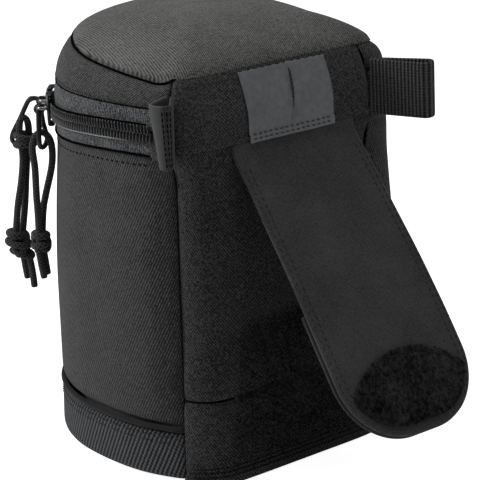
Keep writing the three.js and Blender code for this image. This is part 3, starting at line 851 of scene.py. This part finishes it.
def back_at(u, z):
    held = (0.8 + 0.2 * smooth((z - BACK_SPLIT) / 0.02)) * (1 - smooth((z - 0.111) / 0.0125))
    edge = held * back_pinch(u) + 0.0007 * fold(z - BACK_SPLIT, 0.0015)
    crease = 0.0008 * ripple(u, z, 0.04, 4.1) + 0.0005 * ripple(u, z, 0.016, 9.2) * fold(z - BACK_SPLIT, 0.02)
    return on_plan(back_s(u), TAPER * z + edge - crease, z)


back_panel = panel(
    "back_cloth", back_weave_painted_highlight, "back_cloth", "cup", ["back_panel"],
    (64, 44), BACK_ENDS, (BACK_SPLIT + 0.0002, 0.1243), back_at,
)


def back_foot_at(u, z):
    edge = 0.8 * back_pinch(u) + 0.0009 * fold(BACK_SPLIT - z, 0.0014)
    crease = 0.0006 * ripple(u, z, 0.03, 6.6)
    return on_plan(back_s(u), TAPER * z + edge - crease - 0.0002, z)


panel(
    "back_foot_cloth", back_weave_painted_highlight, "back_cloth", "cup", ["back_base_band"],
    (64, 16), BACK_ENDS, (0, BACK_SPLIT), back_foot_at,
)

HEM_LAYERS = ((0.0004, 0.0058), (0.0015, 0.0046), (0.0028, 0.0034))
hem_parts = []
for out, height in HEM_LAYERS:

    def hem_at(u, z, out=out):
        waver = 0.0003 * ripple(u, out, 0.012, 2.2)
        return on_plan(back_s(u), TAPER * z + 0.6 * back_pinch(u) - out - waver * z / 0.004, z)

    strip = cut_cloth((80, 4), (-BACK_LEFT + 0.001, BACK_RIGHT - 0.001), (0.0013, height), hem_at)
    hem_parts.append(thickened(strip, CLOTH))
piece(joined(*hem_parts), "hem_layers", back_weave, "back_cloth", "cup", ["back_hem"])


def disc_spot(a, b):
    """A point of a square, from -1 to 1 each way, moved to a disc: its share of the radius and its turn."""
    if a == 0 and b == 0:
        return 0.0, 0.0
    if abs(a) > abs(b):
        share, turn = abs(a), (b / a) / 8 + (0 if a > 0 else 0.5)
    else:
        share, turn = abs(b), 0.25 - (a / b) / 8 + (0 if b > 0 else 0.5)
    return share, turn % 1.0


def turn_s(turn):
    """Plan distance at a turn from 0 to 1, anticlockwise from the middle of the front."""
    return ((turn + 0.5) % 1.0 - 0.5) * 2 * HALF_ROUND


def round_plan(turn, inset):
    return on_plan(turn_s(turn), inset, 0).to_2d()


PLAN_MIDDLE = Vector((0, (BACK_Y - FRONT_R) / 2))


def plan_disc(cells, inset, height, way, spread=1.0):
    """A sheet with the outline of the plan. inset and height are given at a share of the way out and a turn."""

    def place(a, b):
        share, turn = disc_spot(a, b)
        out = 1 - (1 - share) ** spread
        flat = PLAN_MIDDLE.lerp(round_plan(turn, inset(out, turn)), out)
        return Vector((flat.x, flat.y, height(out, turn)))

    def cut(a, b):
        spot = place(a, b)
        return spot.x, spot.y

    bm = cut_cloth((cells, cells), (-1, 1), (-1, 1), place, cut)
    bmesh.ops.recalc_face_normals(bm, faces=bm.faces)
    return facing(bm, way)


sole = plan_disc(28, lambda out, turn: 0.0042, lambda out, turn: 0.0004 + 0.0006 * smooth((1 - out) * 6), -UP)
piece(sole, "sole", foot_weave, "ribbed_cloth", "cup", ["bottom_panel"], thick=0.001)


# Lining: one bag with a turned rim
def lining_at(s, v):
    z = min(v, 0.1263)
    over = max(v - 0.1263, 0) / 0.006
    inset = TAPER * z + LINING_IN + 0.0008 - 0.0004 * ripple(s, v, 0.03, 7.7)
    return on_plan(s, inset - over * 0.0062, z - 0.0005 * over)


liner = plan_disc(
    28, lambda out, turn: LINING_IN + 0.0014, lambda out, turn: 0.0098 - 0.0006 * smooth((1 - out) * 5), UP
)
bag = cut_cloth((120, 26), (-HALF_ROUND, HALF_ROUND), (0.0096, 0.1323), lining_at)
piece(
    joined(turned_in(bag), liner), "bag_lining", lining_cloth, "lining", "cup",
    ["lining", "wall_foam", "back_foam", "base_foam"], thick=THIN_CLOTH,
)


def back_rim_at(u, t):
    return on_plan(back_s(u), 0.0085 - 0.0022 * t, 0.1261 - 0.0026 * t)


panel(
    "back_rim_binding", lining_cloth, "lining", "cup", (),
    (64, 4), (-BACK_LEFT - 0.004, BACK_RIGHT + 0.004), (0, 1), back_rim_at, deep(0.0034), THIN_CLOTH,
)


# Zip
def ear_cut(s, radius):
    """Height of a circle about the lid's fold, where it passes a point of the wall."""
    reach = HINGE_Y - on_plan(s, LID_INSET, 0).y
    return HINGE_Z + sqrt(max(radius**2 - reach**2, 0))


TAPE = 0.0007
TAPE_END = ZIP_END + 0.0028


def lower_tape_at(s, z):
    return on_plan(s, LID_INSET + 0.0004 + 0.0001 * ripple(s, z, 0.01, 3.0), z + rise(s))


panel(
    "lower_tape", tape_weave, "zip_tape", "cup", ["lower_zip_tape"],
    (120, 8), (-TAPE_END, TAPE_END), (WALL_TOP - 0.0004, COIL_Z - 0.0003), lower_tape_at, thick=TAPE,
)


def upper_tape_at(s, t):
    low = max(COIL_Z + 0.0003 + rise(s), ear_cut(s, EAR_R + 0.0001))
    z = low + max(TAPE_TOP + 0.001 - low, 0.0002) * t
    return on_plan(s, LID_INSET + lid_lean(z) + 0.0004 + 0.0001 * ripple(s, z, 0.01, 5.0), z)


panel(
    "upper_tape", tape_weave, "zip_tape", "lid", ["upper_zip_tape"],
    (130, 8), (-CORNER_START, CORNER_START), (0, 1), upper_tape_at, deep(0.0102), TAPE,
)


def seam_line(name, body, face, end, radius):
    """A dark round line sunk in a seam: a black tube that stands in for the seam's shade. face(s) gives its
    inset and height.
    """
    piece(plan_tube((130, 6), (-end, end), face, radius), name, shadow, "piping", body)


seam_line("tape_seam", "cup", lambda s: (LID_INSET + 0.0002, WALL_TOP + rise(s) + 0.0002), ZIP_END, 0.0005)
RIM_IN = LID_INSET + lid_lean(TAPE_TOP) + 0.0003
seam_line("rim_seam", "lid", lambda s: (RIM_IN, TAPE_TOP + 0.0001), ZIP_END, 0.0003)


def groove(s):
    return LID_INSET + lid_lean(lid_seam(s)) + 0.0004, lid_seam(s) - 0.0002


seam_line("lid_groove", "lid", groove, 0.15, 0.0005)

COIL_IN = LID_INSET - 0.0008
COIL_STEP = 0.0016


def coil_half(name, side, body, node):
    """One half of the coil: rounded loops that mesh with the other half, and the cord they are sewn over."""
    places = []
    count = int(2 * TAPE_END / COIL_STEP)
    for i in range(count):
        s = -TAPE_END + COIL_STEP * (i + (0.5 if side > 0 else 1.0))
        if s > TAPE_END - 0.0005:
            break
        out = round_out(s)
        lean = Matrix.Rotation(radians(7 * side), 4, "Z")
        size = Matrix.Diagonal((0.00033, 0.00225, 0.00095, 1))
        spot = on_plan(s, COIL_IN, COIL_Z + rise(s) + side * 0.0014)
        places.append(standing(spot, UP.cross(out), out) @ lean @ size)

    def core_spot(s):
        return COIL_IN, COIL_Z + rise(s) + side * 0.00335

    # The lower cord carries a painted highlight; the upper cord is a black line that stands in for the shade
    # above the coil
    core = plan_tube((120, 6), (-ZIP_END, ZIP_END), core_spot, 0.00045, 0.00042)
    piece(core, f"{name}_cord", highlight_filament if side < 0 else shadow, "zip_coil", body)
    piece(beads(places, 8, 5), name, nylon, "zip_coil", body, [node])


coil_half("lower_coil", -1, "cup", "lower_zip_teeth")
coil_half("upper_coil", 1, "lid", "upper_zip_teeth")


# Corner ears
def ear_at(s, t):
    low = WALL_TOP - 0.0015 + rise(s)
    z = low + (ear_cut(s, EAR_R - 0.0002) - low) * t
    edge = 0.0012 * fold(wall_margin(s), 0.0028)
    return on_plan(s, LID_INSET + edge - 0.0002 * ripple(s, z, 0.02, 8.0), z)


EAR_START = SIDE_START + SIDE_R * asin((HINGE_Y - EAR_R + 0.0002) / (SIDE_R - LID_INSET))
for name, side in (("left", 1), ("right", -1)):
    ends = (EAR_START, SEAM_LEFT) if side > 0 else (-SEAM_RIGHT, -EAR_START)
    panel(
        f"zip_end_{name}", rim_twill, "twill", "cup", [f"corner_ear_{name}"],
        (18, 12), ends, (0, 1), ear_at, deep(0.02), 0.0011,
    )


# Webbing loops
WEB = 0.0014


def folds_with_lid(obj):
    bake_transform(obj)


def webbing_loop(root, length, hollow, turn, low, high, slack):
    """A folded strap's cut and shape. Slack is 1 where it narrows downwards and its free end drops, or 0."""
    ahead = Vector((cos(radians(turn)), sin(radians(turn))))
    across = Vector((-ahead.y, ahead.x))
    reach = length - hollow - WEB
    bend = hollow + WEB / 2
    lean = acos((WEB / 2 - bend) / reach)
    tilt = Vector((cos(lean), sin(lean)))
    straight = sqrt(reach**2 - (bend - WEB / 2) ** 2)
    around = 2 * lean * bend

    def loop_at(u, z):
        """The webbing runs out along one side, round the end and back."""
        mirror = -1 if u > straight + around else 1
        d = 2 * straight + around - u if mirror < 0 else u
        if d <= straight:
            spot = tilt * (WEB / 2) + Vector((tilt.y, -tilt.x)) * d
        else:
            angle = lean - (d - straight) / bend
            spot = Vector((reach, 0)) + Vector((cos(angle), sin(angle))) * bend
        drop = slack * (high - z) / (high - low)
        flat = root + ahead * spot.x * (1 - 0.3 * drop) + across * spot.y * mirror * (1.35 - 0.75 * drop)
        return Vector((flat.x, flat.y, z - 0.0016 * slack * smooth(spot.x / reach)))

    def on_loop(z, u):
        spot = loop_at(straight + u, z)
        middle = root + ahead * reach
        out = Vector((spot.x - middle.x, spot.y - middle.y, 0)).normalized()
        return spot + out * 0.0007, out

    return cut_cloth((60, 14), (0, 2 * straight + around), (low, high), loop_at), on_loop


LOOP_LOW, LOOP_HIGH = 0.1203, 0.1441
web, on_loop = webbing_loop(Vector((0.0476, 0.0460)), 0.0086, 0.0022, 18, LOOP_LOW, LOOP_HIGH, 1)
strap = {"thick": WEB - 0.0001, "offset": 0.0}
piece(web, "webbing_left", fine_webbing_painted_highlight, "webbing", "cup", ["loop_left"], **strap)
for index, spot in enumerate((0.0019, 0.003, 0.0042)):
    stitch_row(
        f"loop_stitches_{index}", "cup", lambda z, u=spot: on_loop(z, u), LOOP_LOW + 0.001, LOOP_HIGH - 0.001,
        shadow, 0.0021, 0.0019, 0.0005,
    )
web, _ = webbing_loop(Vector((-0.0386, 0.0524)), 0.0245, 0.0016, 118, 0.1228, 0.1438, 0)
folds_with_lid(settled(piece(web, "webbing_right", webbing, "webbing", None, ["loop_right"], **strap)))


# Patch on the lower back
TUFT = 0.0011


def tufted(name, body, node, base, spots):
    """A fuzzy patch: its backing, and tufts that lean every way."""
    places = []
    for point, normal in spots:
        tilt = Vector([rng.gauss(0, 0.55) for _ in range(3)])
        out = (normal + tilt).normalized()
        tall = TUFT * rng.uniform(0.6, 1.3)
        root = standing(point + out * tall * 0.4, out.orthogonal(), out)
        places.append(root @ Matrix.Diagonal((1, 1, tall, 1)))

    def tuft(bm, place):
        shape = {"segments": 3, "radius1": 0.0003, "radius2": 0.00007, "depth": 1}
        bmesh.ops.create_cone(bm, cap_ends=True, matrix=place, **shape)

    piece(joined(base, repeated(tuft, places)), name, pile, "pile", body, [node], level=0)


def back_patch_at(u, z, lift=-0.0004):
    half = 0.0287 + 0.18 * (0.0585 - z) + 0.0035 * smooth((0.016 - z) / 0.01)
    across = u * (half if u < 0 else min(half, 0.034))
    lift += 0.0003 * ripple(across, z, 0.008, 1.0)
    return on_plan(back_s(across), TAPER * z + 0.85 * back_pinch(across) - lift, z)


patch = thickened(
    cut_cloth((40, 36), (-1, 1), (0.0062, 0.0575), back_patch_at, lambda u, z: (u * 0.029, z)), 0.0022
)
spots = []
for i in range(3400):
    u, z = rng.uniform(-1, 1), rng.uniform(0.0065, 0.0572)
    spots.append((back_patch_at(u, z, 0.0018), Vector((0, 1, TAPER))))
tufted("back_pile", "cup", "back_loop_patch", patch, spots)

# Belt flap
FLAP_HALF = 0.0296
FLAP_LENGTH = 0.1177
FLAP_TIP_R = 0.024
FLAP_TURN = radians(36)
FLAP_BEND = 0.005
FLAP_TOP = Vector((0, 0.0529, 0.1242))
FLAP_STRAIGHT = 0.0025


def flap_line(v):
    """Middle line of the flap: the point v metres down it, and its outward normal."""
    bend_end = FLAP_STRAIGHT + FLAP_BEND * FLAP_TURN
    if v < FLAP_STRAIGHT:
        return FLAP_TOP - Vector((0, 0, v)), Vector((0, 1, 0))
    turn = min((v - FLAP_STRAIGHT) / FLAP_BEND, FLAP_TURN)
    drop = FLAP_STRAIGHT + FLAP_BEND * sin(turn)
    point = FLAP_TOP + Vector((0, FLAP_BEND * (1 - cos(turn)), -drop))
    rest = max(v - bend_end, 0)
    share = rest / (FLAP_LENGTH - bend_end)
    bow = 0.0016 * sin(pi * share)
    normal = Vector((0, cos(turn), sin(turn)))
    return point + Vector((0, sin(turn), -cos(turn))) * rest + normal * bow, normal


def flap_middle(v):
    """The flap hangs a little askew."""
    return -0.0013 - 0.0011 * v / FLAP_LENGTH


def flap_half(v, end, half, radius):
    """Half width of a tongue with a round tip, v metres down it."""
    half -= 0.0016 * (1 - min(v / 0.08, 1))
    past = v - (end - radius)
    if past <= 0:
        return half
    return half - radius + sqrt(max(radius**2 - past**2, 0))


def flap_face(x, v, lift):
    point, normal = flap_line(v)
    cup = 0.0006 * (x / FLAP_HALF) ** 2 + 0.0004 * ripple(x, v, 0.03, 5.5)
    return point + normal * (lift - cup) + Vector((x + flap_middle(v), 0, 0))


def tongue(cells, start, end, half, radius, lift):
    """A tongue of cloth on the flap, with its rows closer together at the round tip."""
    tip = 0.42

    def row(t):
        if t < 1 - tip:
            return start + (end - radius - start) * t / (1 - tip)
        return end - radius + radius * sin((t - 1 + tip) / tip * pi / 2)

    def cut(a, t):
        v = row(t)
        return a * flap_half(v, end, half, radius), v

    return facing(cut_cloth(cells, (-1, 1), (0, 1), lambda a, t: flap_face(*cut(a, t), lift), cut), OUT)


flap = piece(
    tongue((28, 64), 0, FLAP_LENGTH, FLAP_HALF, FLAP_TIP_R, 0.0008),
    "flap_cloth", flap_cloth, "flap_cloth", stands_for=["flap_panel", "flap_root"], thick=0.0016,
)
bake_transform(settled(flap))
piece(
    tongue((24, 48), 0.0665, FLAP_LENGTH + 0.0003, FLAP_HALF + 0.0006, FLAP_TIP_R + 0.0004, -0.0011),
    "flap_second_ply", flap_cloth, "flap_cloth", "belt_flap", ["flap_inner_ply"], thick=0.001,
)

for name, side in (("left", 1), ("right", -1)):
    for row, margin in (("_edge", 0.0016), ("", 0.0038)):

        def flap_edge(v, side=side, margin=margin):
            x = side * (flap_half(v, FLAP_LENGTH, FLAP_HALF, FLAP_TIP_R) - margin)
            return flap_face(x, v, 0.0009), flap_line(v)[1]

        stitch_row(
            f"flap_stitches_{name}{row}", "belt_flap", flap_edge, 0.0105, FLAP_LENGTH - 0.006,
            flap_thread, 0.0027, 0.0019,
        )

PATCH_TOP = 0.0877
PATCH_R = 0.033
PATCH_MARGIN = 0.003


def in_patch(x, v):
    if v < PATCH_TOP or v > FLAP_LENGTH - PATCH_MARGIN:
        return False
    if x**2 + (v - PATCH_TOP - PATCH_R) ** 2 > PATCH_R**2:
        return False
    return abs(x) < flap_half(v, *(size - PATCH_MARGIN for size in (FLAP_LENGTH, FLAP_HALF, FLAP_TIP_R)))


PATCH_MIDDLE = PATCH_TOP + 0.0145


def patch_edge(turn):
    """How far the patch reaches from its middle in one direction."""
    low, high = 0.0, 0.05
    for _ in range(24):
        half = (low + high) / 2
        if in_patch(half * cos(turn), PATCH_MIDDLE + half * sin(turn)):
            low = half
        else:
            high = half
    return low


def tip_patch(lift):
    def spot(a, b):
        share, turn = disc_spot(a, b)
        angle = turn * 2 * pi
        reach = share * patch_edge(angle)
        return reach * cos(angle), PATCH_MIDDLE + reach * sin(angle)

    bm = cut_cloth((22, 22), (-1, 1), (-1, 1), lambda a, b: flap_face(*spot(a, b), lift), spot)
    return thickened(facing(bm, OUT), 0.0009)


spots = []
while len(spots) < 1500:
    x, v = rng.uniform(-FLAP_HALF, FLAP_HALF), rng.uniform(PATCH_TOP, FLAP_LENGTH)
    if in_patch(x, v):
        spots.append((flap_face(x, v, 0.002), flap_line(v)[1]))
tufted("flap_pile", "belt_flap", "flap_outer_patch", tip_patch(0.0021), spots)
piece(tip_patch(-0.0024), "flap_hooks", hook, "hook", "belt_flap", ["flap_hook_patch"], level=0)


# Lid
def crown(out):
    """The dome's rise, from 1 in the middle to 0 at the seam."""
    return (1 - min(out, 1) ** DOME_SPREAD) ** (1 / DOME_SHOULDER)


def dome_height(out, turn):
    low = lid_seam(turn_s(turn)) - 0.0004
    return low + (LID_SEAM + LID_RISE - low) * crown(out)


def lid_top_inset(out, turn):
    s = turn_s(turn)
    roll = 0.0018 * smooth((out - 0.965) / 0.035) * (1 - 0.6 * back_share(s))
    return LID_INSET + lid_lean(lid_seam(s)) - 0.0007 + roll


dome = plan_disc(56, lid_top_inset, dome_height, UP, spread=1.7)
lid_top = piece(dome, "lid_top", lid_twill, "twill", "lid", ["lid_top_panel"], thick=CLOTH)


def lid_side_at(s, t):
    low = max(TAPE_TOP + 0.0002, ear_cut(s, EAR_R + 0.0001))
    z = low + (lid_seam(s) - 0.0002 - low) * t
    edge = 0.0012 * fold(wall_margin(s), 0.0026) + 0.0012 * fold(lid_seam(s) - z, 0.0016)
    edge += 0.0005 * fold(z - low, 0.001)
    swell = 0.0012 * sin(pi * t)
    return on_plan(s, LID_INSET + lid_lean(z) + edge - swell - 0.0004 * ripple(s, z, 0.03, 2.5), z)


panel(
    "lid_side", rim_twill, "twill", "lid", ["lid_rim"],
    (156, 14), WALL_ENDS, (0, 1), lid_side_at, deep(0.0125),
)


def lid_back_at(u, t):
    top = lid_seam(back_s(u)) - 0.0002
    z = 0.1235 + (top - 0.1235) * t
    edge = 0.0012 * fold(back_margin(u), 0.0026) + 0.0005 * fold(top - z, 0.0018)
    ridge = 0.0007 * bump(z - 0.1243, 0.0008) - 0.0003 * bump(z - 0.1262, 0.0006)
    wave = 0.0006 * ripple(u, z, 0.03, 3.5) + ridge
    return on_plan(back_s(u), LID_INSET + lid_lean(z) + edge - wave - 0.0003, z)


lid_back = panel(
    "lid_back_band", back_weave, "back_cloth", None, ["hinge_band"],
    (64, 40), BACK_ENDS, (0, 1), lid_back_at, deep(0.026), 0.0011,
)
folds_with_lid(settled(lid_back))
for name, share in (("low", 0.105), ("high", 0.9)):
    row = stitch_row(
        f"band_stitches_{name}", None, lambda u, t=share: (lid_back_at(u, t), round_out(back_s(u))),
        -BACK_LEFT + 0.002, BACK_RIGHT - 0.001, flap_thread if name == "low" else dark_thread, 0.0026, 0.0018,
    )
    folds_with_lid(row)
stitch_row(
    "lid_side_stitches", "lid", lambda s: (lid_side_at(s, 0.1), round_out(s)), -ZIP_END, ZIP_END,
    dark_thread, 0.0027, 0.0019,
)


def lid_lining_at(s, v):
    return on_plan(s, LID_LINING_IN + lid_lean(v) + 0.0003 * ripple(s, v, 0.03, 6.0), v)


dome_lining = plan_disc(
    28,
    lambda out, turn: LID_LINING_IN + LID_LEAN + 0.0002,
    lambda out, turn: LID_SEAM + 0.0003 + (LID_RISE - 0.0071) * crown(out),
    -UP,
    spread=1.5,
)
skirt = cut_cloth((112, 8), (-HALF_ROUND, HALF_ROUND), (0.1298, LID_SEAM + 0.0003), lid_lining_at)
piece(
    joined(turned_in(skirt), dome_lining), "lid_inner_lining", lining_cloth, "lining", "lid",
    ["lid_lining", "lid_foam"], THIN_CLOTH,
)

# Label
TAG_HALF = 0.0195
TAG_HEIGHT = 0.0253


def tag_at(x, t):
    z = 0.1229 + (TAG_HEIGHT - 0.0005 * abs(sin(pi * x / 0.0033))) * t
    crease = 0.0011 * fold(abs(x - 0.002 - 0.12 * (z - 0.136)), 0.0013) * smooth((z - 0.126) / 0.003)
    turned = 0.0006 * smooth((0.1263 - z) / 0.0005)
    turned += 0.0003 * ripple(x, z, 0.004, 7.0) * smooth((0.1275 - z) / 0.003)
    pucker = 0.0004 * ripple(x, z, 0.012, 1.1) - crease + turned
    return Vector((-x, HINGE_Y - lid_lean(z) + 0.0013 + pucker, z))


tag = panel(
    "bare_label", tag_cloth, "label", None, ["label"],
    (48, 44), (-TAG_HALF, TAG_HALF), (0, 1), tag_at, deep(TAG_HEIGHT), THIN_CLOTH,
)
folds_with_lid(settled(tag))
for name, height in (("low", 0.06), ("fold", 0.125)):
    row = stitch_row(
        f"label_stitches_{name}", None, lambda x, t=height: (tag_at(x, t) + OUT * 0.0001, OUT),
        -TAG_HALF + 0.001, TAG_HALF - 0.001, dark_thread, 0.0024, 0.0017, 0.0005,
    )
    folds_with_lid(row)


# Light, floor and background
world = bpy.data.worlds.new("studio")
world.use_nodes = True
sky = world.node_tree
rays = sky.nodes.new("ShaderNodeLightPath")
strength = sky.nodes.new("ShaderNodeMapRange")
strength.inputs[3].default_value = 0.13
strength.inputs[4].default_value = 1.0
sky.links.new(rays.outputs["Is Camera Ray"], strength.inputs[0])
sky.links.new(strength.outputs[0], sky.nodes["Background"].inputs["Strength"])
sky.nodes["Background"].inputs["Color"].default_value = (1, 1, 1, 1)
scene.world = world

ground = bmesh.new()
bmesh.ops.create_grid(ground, x_segments=4, y_segments=4, size=4)
ground_mesh = bpy.data.meshes.new("floor")
ground.to_mesh(ground_mesh)
ground.free()
floor = placed("floor", ground_mesh)
floor.location.z = -0.0003
paper = Finish("paper", Roughness=0.9, Specular_IOR_Level=0.1)
paper.colour(paper.cloud(3, 2), grey(0.9), grey(0.93))
paper_rays = paper.node("ShaderNodeLightPath")
paper.shader.inputs["Emission Strength"].default_value = 0.9
paper.feed("Emission Color", paper.mix(paper_rays, grey(0), grey(1)))
ground_mesh.materials.append(paper.material)


def lamp(name, spot, size, energy):
    light = bpy.data.lights.new(name, "AREA")
    light.size = size
    light.energy = energy
    turn = (spot - UP * 0.08).to_track_quat("Z", "Y")
    placed(name, light).matrix_world = Matrix.Translation(spot) @ turn.to_matrix().to_4x4()


def from_camera(right_by, up_by, near_by):
    return level_right * right_by + UP * up_by + Vector((away.x, away.y, 0)).normalized() * near_by


lamp("key", from_camera(-0.9, 0.65, 0.0), 0.45, 5.7)
lamp("top", from_camera(0.05, 1.1, 0.0), 0.8, 3.8)
lamp("fill", from_camera(0.8, 0.5, 0.8), 0.8, 0.7)

scene.view_settings.view_transform = "Standard"
